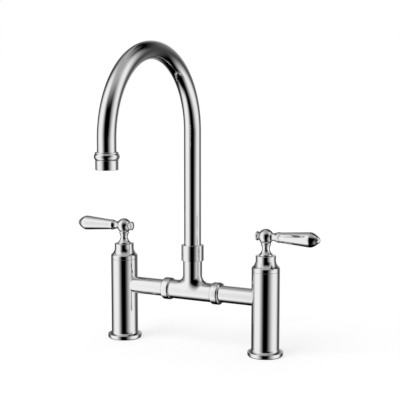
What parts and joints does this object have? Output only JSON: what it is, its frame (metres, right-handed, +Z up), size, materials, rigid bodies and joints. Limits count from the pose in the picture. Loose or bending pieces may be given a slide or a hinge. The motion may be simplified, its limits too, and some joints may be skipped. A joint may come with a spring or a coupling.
{
  "type": "bridge kitchen faucet",
  "caption": "Deck-mounted bridge faucet: lever-valve pillars joined by a bridge whose tee carries a swivelling high gooseneck spout with an aerator.",
  "frame": {"origin": "midway between the two pillars' axes, on the deck surface under the base flanges", "axes": "+X towards the right pillar as the user sees it, -Y towards the user along the resting spout, +Z up"},
  "size_m": [0.3448, 0.2332, 0.3837],
  "materials": {
    "polished_chrome": "polished chrome plating, mirror bright",
    "raw_brass": "machined brass, unplated",
    "set_screw_steel": "plain machined steel",
    "black_rubber": "matt moulded rubber",
    "white_ceramic": "lapped alumina ceramic",
    "white_plastic": "moulded acetal plastic"
  },
  "bodies": {
    "base": {"left_pillar_body": "polished_chrome", "left_base_flange": "polished_chrome", "left_flange_gasket": "black_rubber", "left_inlet_riser": "raw_brass", "left_riser_o_ring": "black_rubber", "left_cartridge_body": "raw_brass", "left_cartridge_seal": "black_rubber", "left_fixed_disc": "white_ceramic", "left_bonnet": "polished_chrome", "left_bridge_pipe": "polished_chrome", "left_union_nut": "polished_chrome", "left_union_seal": "black_rubber", "right_pillar_body": "polished_chrome", "right_base_flange": "polished_chrome", "right_flange_gasket": "black_rubber", "right_inlet_riser": "raw_brass", "right_riser_o_ring": "black_rubber", "right_cartridge_body": "raw_brass", "right_cartridge_seal": "black_rubber", "right_fixed_disc": "white_ceramic", "right_bonnet": "polished_chrome", "right_bridge_pipe": "polished_chrome", "right_union_nut": "polished_chrome", "right_union_seal": "black_rubber", "center_tee": "polished_chrome", "spout_collar_nut": "polished_chrome", "spout_slip_washer": "white_plastic"},
    "left_handle": {"left_spindle": "raw_brass", "left_moving_disc": "white_ceramic", "left_handle_hub": "polished_chrome", "left_hub_grub_screw": "set_screw_steel", "left_lever_stem": "polished_chrome", "left_lever_grip": "polished_chrome", "left_lever_finial": "polished_chrome", "left_back_button": "polished_chrome"},
    "right_handle": {"right_spindle": "raw_brass", "right_moving_disc": "white_ceramic", "right_handle_hub": "polished_chrome", "right_hub_grub_screw": "set_screw_steel", "right_lever_stem": "polished_chrome", "right_lever_grip": "polished_chrome", "right_lever_finial": "polished_chrome", "right_back_button": "polished_chrome"},
    "spout": {"spout_bush": "raw_brass", "spout_o_ring_lower": "black_rubber", "spout_o_ring_upper": "black_rubber", "gooseneck_tube": "polished_chrome", "spout_end_collar": "polished_chrome", "aerator_housing": "polished_chrome", "aerator_washer": "black_rubber", "aerator_insert": "white_plastic"}
  },
  "joints": [
    {"name": "spout_swivel", "type": "hinge", "parent": "base", "child": "spout", "pos_m": [0, 0, 0.1193], "axis": [0, 0, 1], "continuous": true},
    {"name": "left_handle_turn", "type": "hinge", "parent": "base", "child": "left_handle", "pos_m": [-0.1016, 0, 0.1257], "axis": [0, 0, 1], "range_deg": [0, 90]},
    {"name": "right_handle_turn", "type": "hinge", "parent": "base", "child": "right_handle", "pos_m": [0.1016, 0, 0.1257], "axis": [0, 0, 1], "range_deg": [-90, 0]}
  ]
}
